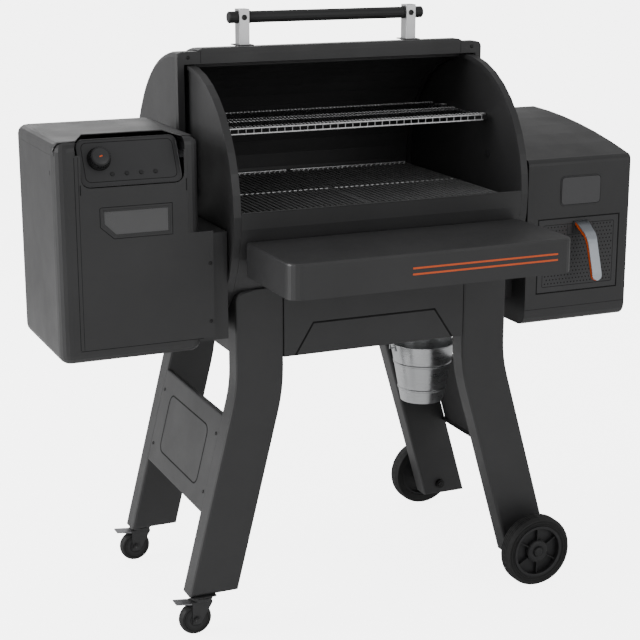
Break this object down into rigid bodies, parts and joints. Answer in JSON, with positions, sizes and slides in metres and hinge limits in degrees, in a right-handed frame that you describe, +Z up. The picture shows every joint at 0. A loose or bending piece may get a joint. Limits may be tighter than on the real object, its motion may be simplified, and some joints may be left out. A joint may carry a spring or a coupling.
{
  "type": "pellet smoker grill",
  "caption": "Barrel pellet smoker on a wheeled cart, with a hinged lid, pellet hopper and controls, side cupboard, folding front shelf and grease bucket.",
  "frame": {"origin": "centre of the bounding box at floor level", "axes": "+X towards the side cupboard, +Y towards the back, +Z up; the lid's opening and the shelf face -Y"},
  "size_m": [1.43, 0.8834, 1.394],
  "materials": {
    "powder_coat": "fine-textured satin black powder coat",
    "satin_panel": "smooth satin charcoal paint",
    "dark_plastic": "matt black",
    "black_rubber": "matt black",
    "brushed_steel": "brushed along its length",
    "chrome_wire": "bright plate",
    "grate_enamel": "black porcelain enamel on steel",
    "galvanised_steel": "zinc plate",
    "smoked_window": "smoked and smooth",
    "badge_plate": "satin grey paint"
  },
  "bodies": {
    "cart": {"barrel_shell": "powder_coat", "left_end_plate": "powder_coat", "right_end_plate": "powder_coat", "grease_tray": "grate_enamel", "heat_baffle": "grate_enamel", "fire_pot": "grate_enamel", "drain_spout": "galvanised_steel", "front_left_leg": "powder_coat", "front_right_leg": "powder_coat", "rear_left_leg": "powder_coat", "rear_right_leg": "powder_coat", "front_apron": "powder_coat", "rear_apron": "powder_coat", "left_side_rail": "powder_coat", "right_side_rail": "powder_coat", "left_side_panel": "powder_coat", "right_side_panel": "powder_coat", "front_wheel_axle": "galvanised_steel", "rear_wheel_axle": "galvanised_steel", "shelf_hinge_rail": "powder_coat", "hopper_casing": "powder_coat", "hopper_front": "powder_coat", "hopper_window": "smoked_window", "control_panel": "satin_panel", "hopper_bin": "galvanised_steel", "auger_motor": "dark_plastic", "side_box_casing": "powder_coat", "badge_plate": "badge_plate"},
    "lid": {"lid_skin": "powder_coat", "left_lid_end": "powder_coat", "right_lid_end": "powder_coat", "left_handle_post": "brushed_steel", "right_handle_post": "brushed_steel", "handle_bar": "dark_plastic"},
    "shelf": {"front_shelf": "powder_coat"},
    "hopper_cover": {"hopper_lid": "powder_coat"},
    "knob": {"control_knob": "dark_plastic"},
    "first_button": {"button_1": "dark_plastic"},
    "second_button": {"button_2": "dark_plastic"},
    "third_button": {"button_3": "dark_plastic"},
    "fourth_button": {"button_4": "dark_plastic"},
    "side_door": {"side_box_door": "satin_panel", "door_handle": "brushed_steel"},
    "left_cooking_grate": {"left_grate": "grate_enamel"},
    "right_cooking_grate": {"right_grate": "grate_enamel"},
    "upper_rack": {"warming_rack": "chrome_wire"},
    "feed_auger": {"auger": "galvanised_steel"},
    "fan": {"combustion_fan": "galvanised_steel"},
    "front_caster": {"front_caster_fork": "powder_coat"},
    "front_caster_roller": {"front_caster_wheel": "black_rubber"},
    "front_brake": {"front_caster_brake": "brushed_steel"},
    "rear_caster": {"rear_caster_fork": "powder_coat"},
    "rear_caster_roller": {"rear_caster_wheel": "black_rubber"},
    "rear_brake": {"rear_caster_brake": "brushed_steel"},
    "front_wheel": {"front_wheel_tyre": "black_rubber", "front_wheel_hub": "dark_plastic"},
    "rear_wheel": {"rear_wheel_tyre": "black_rubber", "rear_wheel_hub": "dark_plastic"},
    "bail": {"bucket_bail": "galvanised_steel"},
    "bucket": {"grease_bucket": "galvanised_steel"}
  },
  "joints": [
    {"name": "lid_hinge", "type": "hinge", "parent": "cart", "child": "lid", "pos_m": [0.027, 0.10675, 0.977], "axis": [1, 0, 0], "range_deg": [0, 90]},
    {"name": "shelf_fold", "type": "hinge", "parent": "cart", "child": "shelf", "pos_m": [0.027, -0.19575, 0.847], "axis": [1, 0, 0], "range_deg": [0, 90]},
    {"name": "hopper_lid_hinge", "type": "hinge", "parent": "cart", "child": "hopper_cover", "pos_m": [-0.558, 0.16975, 1.128], "axis": [-1, 0, 0], "range_deg": [0, 80]},
    {"name": "side_door_hinge", "type": "hinge", "parent": "cart", "child": "side_door", "pos_m": [0.5755, -0.12525, 0.7175], "axis": [1, 0, 0], "range_deg": [0, 90]},
    {"name": "knob_turn", "type": "hinge", "parent": "cart", "child": "knob", "pos_m": [-0.613, -0.13701, 1.11346], "axis": [0, -0.891, 0.454], "range_deg": [-135, 135]},
    {"name": "first_button_press", "type": "slide", "parent": "cart", "child": "first_button", "axis": [0, 0.891, -0.454], "range_m": [0, 0.001], "stiffness_N_per_m": 500, "springref_m": -0.0005},
    {"name": "second_button_press", "type": "slide", "parent": "cart", "child": "second_button", "axis": [0, 0.891, -0.454], "range_m": [0, 0.001], "stiffness_N_per_m": 500, "springref_m": -0.0005},
    {"name": "third_button_press", "type": "slide", "parent": "cart", "child": "third_button", "axis": [0, 0.891, -0.454], "range_m": [0, 0.001], "stiffness_N_per_m": 500, "springref_m": -0.0005},
    {"name": "fourth_button_press", "type": "slide", "parent": "cart", "child": "fourth_button", "axis": [0, 0.891, -0.454], "range_m": [0, 0.001], "stiffness_N_per_m": 500, "springref_m": -0.0005},
    {"name": "left_grate_lift", "type": "slide", "parent": "cart", "child": "left_cooking_grate", "axis": [0, 0, 1], "range_m": [0, 0.06]},
    {"name": "right_grate_lift", "type": "slide", "parent": "cart", "child": "right_cooking_grate", "axis": [0, 0, 1], "range_m": [0, 0.06]},
    {"name": "warming_rack_lift", "type": "slide", "parent": "cart", "child": "upper_rack", "axis": [0, 0, 1], "range_m": [0, 0.06]},
    {"name": "auger_turn", "type": "hinge", "parent": "cart", "child": "feed_auger", "pos_m": [-0.633, 0.10675, 0.735], "axis": [1, 0, 0], "continuous": true},
    {"name": "fan_spin", "type": "hinge", "parent": "cart", "child": "fan", "pos_m": [-0.493, -0.06325, 0.72], "axis": [0, 0, 1], "continuous": true},
    {"name": "front_caster_swivel", "type": "hinge", "parent": "cart", "child": "front_caster", "pos_m": [-0.403, -0.12675, 0.0935], "axis": [0, 0, 1], "continuous": true},
    {"name": "front_caster_roll", "type": "hinge", "parent": "front_caster", "child": "front_caster_roller", "pos_m": [-0.421, -0.12675, 0.038], "axis": [0, 1, 0], "continuous": true},
    {"name": "front_caster_brake", "type": "hinge", "parent": "front_caster", "child": "front_brake", "pos_m": [-0.4319, -0.12675, 0.0785], "axis": [0, -1, 0], "range_deg": [0, 15]},
    {"name": "rear_caster_swivel", "type": "hinge", "parent": "cart", "child": "rear_caster", "pos_m": [-0.403, 0.34025, 0.0935], "axis": [0, 0, 1], "continuous": true},
    {"name": "rear_caster_roll", "type": "hinge", "parent": "rear_caster", "child": "rear_caster_roller", "pos_m": [-0.421, 0.34025, 0.038], "axis": [0, 1, 0], "continuous": true},
    {"name": "rear_caster_brake", "type": "hinge", "parent": "rear_caster", "child": "rear_brake", "pos_m": [-0.4319, 0.34025, 0.0785], "axis": [0, -1, 0], "range_deg": [0, 15]},
    {"name": "front_wheel_roll", "type": "hinge", "parent": "cart", "child": "front_wheel", "pos_m": [0.439, -0.19825, 0.0885], "axis": [0, 1, 0], "continuous": true},
    {"name": "rear_wheel_roll", "type": "hinge", "parent": "cart", "child": "rear_wheel", "pos_m": [0.439, 0.41175, 0.0885], "axis": [0, 1, 0], "continuous": true},
    {"name": "bail_swing", "type": "hinge", "parent": "cart", "child": "bail", "pos_m": [0.289, 0.12975, 0.632], "axis": [1, 0, 0], "range_deg": [-10, 10]},
    {"name": "bucket_tip", "type": "hinge", "parent": "bail", "child": "bucket", "pos_m": [0.289, 0.12975, 0.545], "axis": [1, 0, 0], "range_deg": [-25, 25]}
  ]
}
